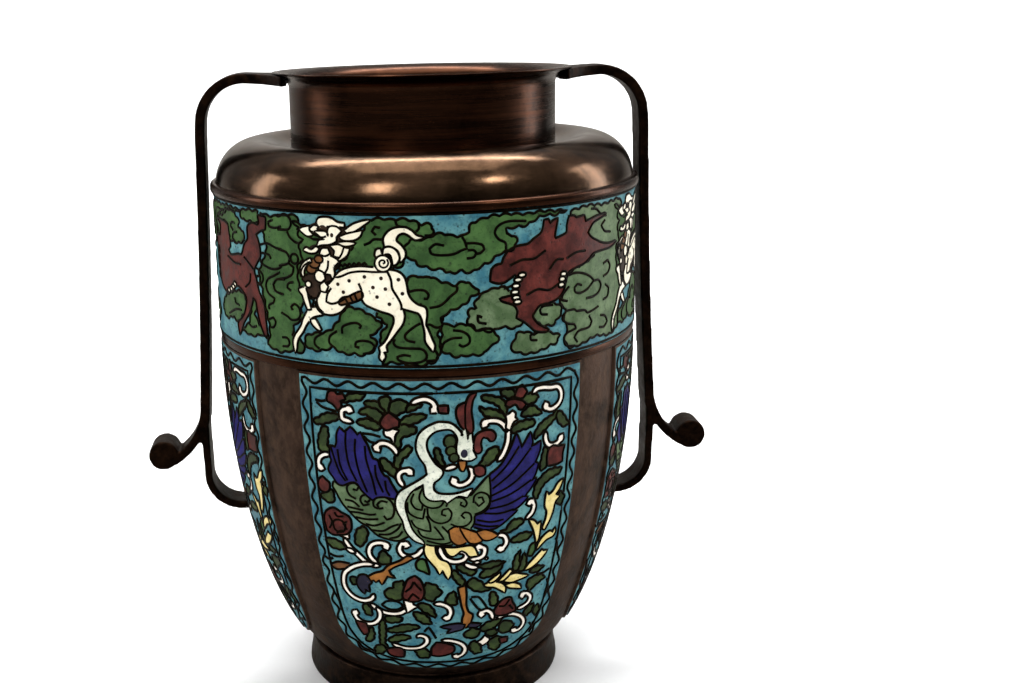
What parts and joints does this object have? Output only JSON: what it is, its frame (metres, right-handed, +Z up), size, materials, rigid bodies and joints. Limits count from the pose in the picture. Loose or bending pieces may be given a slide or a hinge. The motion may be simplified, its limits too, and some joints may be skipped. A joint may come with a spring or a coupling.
{
  "type": "vase",
  "caption": "Two-handled cast bronze vase with an enamelled cloud frieze, shield-shaped bird panels between plain pillars, a rolled shoulder, a short flared neck and a ring foot.",
  "frame": {"origin": "centre of the foot's resting face", "axes": "+Z up along the vase's axis; the front picture panel faces -Y; the handles stand at -X and +X"},
  "size_m": [0.2916, 0.214, 0.3124],
  "materials": {
    "dark_bronze": "dark brown patina, satin",
    "brown_bronze": "grey-brown patina, satin",
    "red_bronze": "reddish brown patina, satin",
    "polished_bronze": "dark brown patina, polished and waxed",
    "black_bronze": "near-black patina with copper rubbed through",
    "wire_bronze": "near-black wires, worn",
    "green_enamel": "opaque enamel, stoned flat, finely pitted",
    "turquoise_enamel": "opaque enamel, stoned flat, finely pitted",
    "white_enamel": "opaque cream enamel with dark pits",
    "red_enamel": "opaque dark red enamel",
    "blue_enamel": "opaque cobalt enamel",
    "yellow_enamel": "opaque pale yellow enamel",
    "ochre_enamel": "opaque ochre enamel",
    "olive_enamel": "opaque olive green enamel",
    "sage_enamel": "opaque grey-green enamel"
  },
  "bodies": {
    "root": {"foot_ring": "dark_bronze", "base_plate": "dark_bronze", "bowl": "brown_bronze", "waist_band": "red_bronze", "frieze_wall": "dark_bronze", "frieze_enamel": "green_enamel", "ridge_band": "red_bronze", "shoulder": "polished_bronze", "neck": "polished_bronze", "handle_left": "black_bronze", "handle_right": "black_bronze", "panel_rim_front": "brown_bronze", "border_enamel_front": "turquoise_enamel", "border_line_front": "wire_bronze", "field_enamel_front": "turquoise_enamel", "panel_rim_right": "brown_bronze", "border_enamel_right": "turquoise_enamel", "border_line_right": "wire_bronze", "field_enamel_right": "turquoise_enamel", "panel_rim_back": "brown_bronze", "border_enamel_back": "turquoise_enamel", "border_line_back": "wire_bronze", "field_enamel_back": "turquoise_enamel", "panel_rim_left": "brown_bronze", "border_enamel_left": "turquoise_enamel", "border_line_left": "wire_bronze", "field_enamel_left": "turquoise_enamel"}
  },
  "joints": []
}
